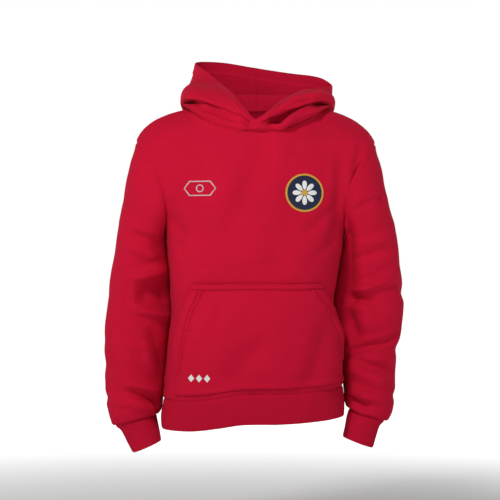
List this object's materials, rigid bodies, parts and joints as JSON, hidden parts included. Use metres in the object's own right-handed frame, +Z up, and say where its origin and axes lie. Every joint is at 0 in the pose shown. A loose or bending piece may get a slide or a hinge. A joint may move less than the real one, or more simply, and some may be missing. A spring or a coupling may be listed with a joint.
{
  "type": "kids hoodie",
  "caption": "Red child's pullover hoodie in fleece sweatshirt cloth, worn form with the hood down, kangaroo pocket, ribbed cuffs and hem band",
  "frame": {"origin": "middle of the neck base, level with the tops of the shoulders", "axes": "+Z up, -Y the front, +X the wearer's left"},
  "size_m": [0.5113, 0.2903, 0.678],
  "materials": {
    "fleece": "matte brushed sweatshirt knit, red",
    "rib": "matte fine rib knit, red"
  },
  "bodies": {
    "root": {"body_front": "fleece", "body_back": "fleece", "sleeve_right": "fleece", "sleeve_left": "fleece", "cuff_right": "rib", "cuff_left": "rib", "hem_band": "rib", "hood_right": "fleece", "hood_left": "fleece", "pocket": "fleece"}
  },
  "joints": []
}
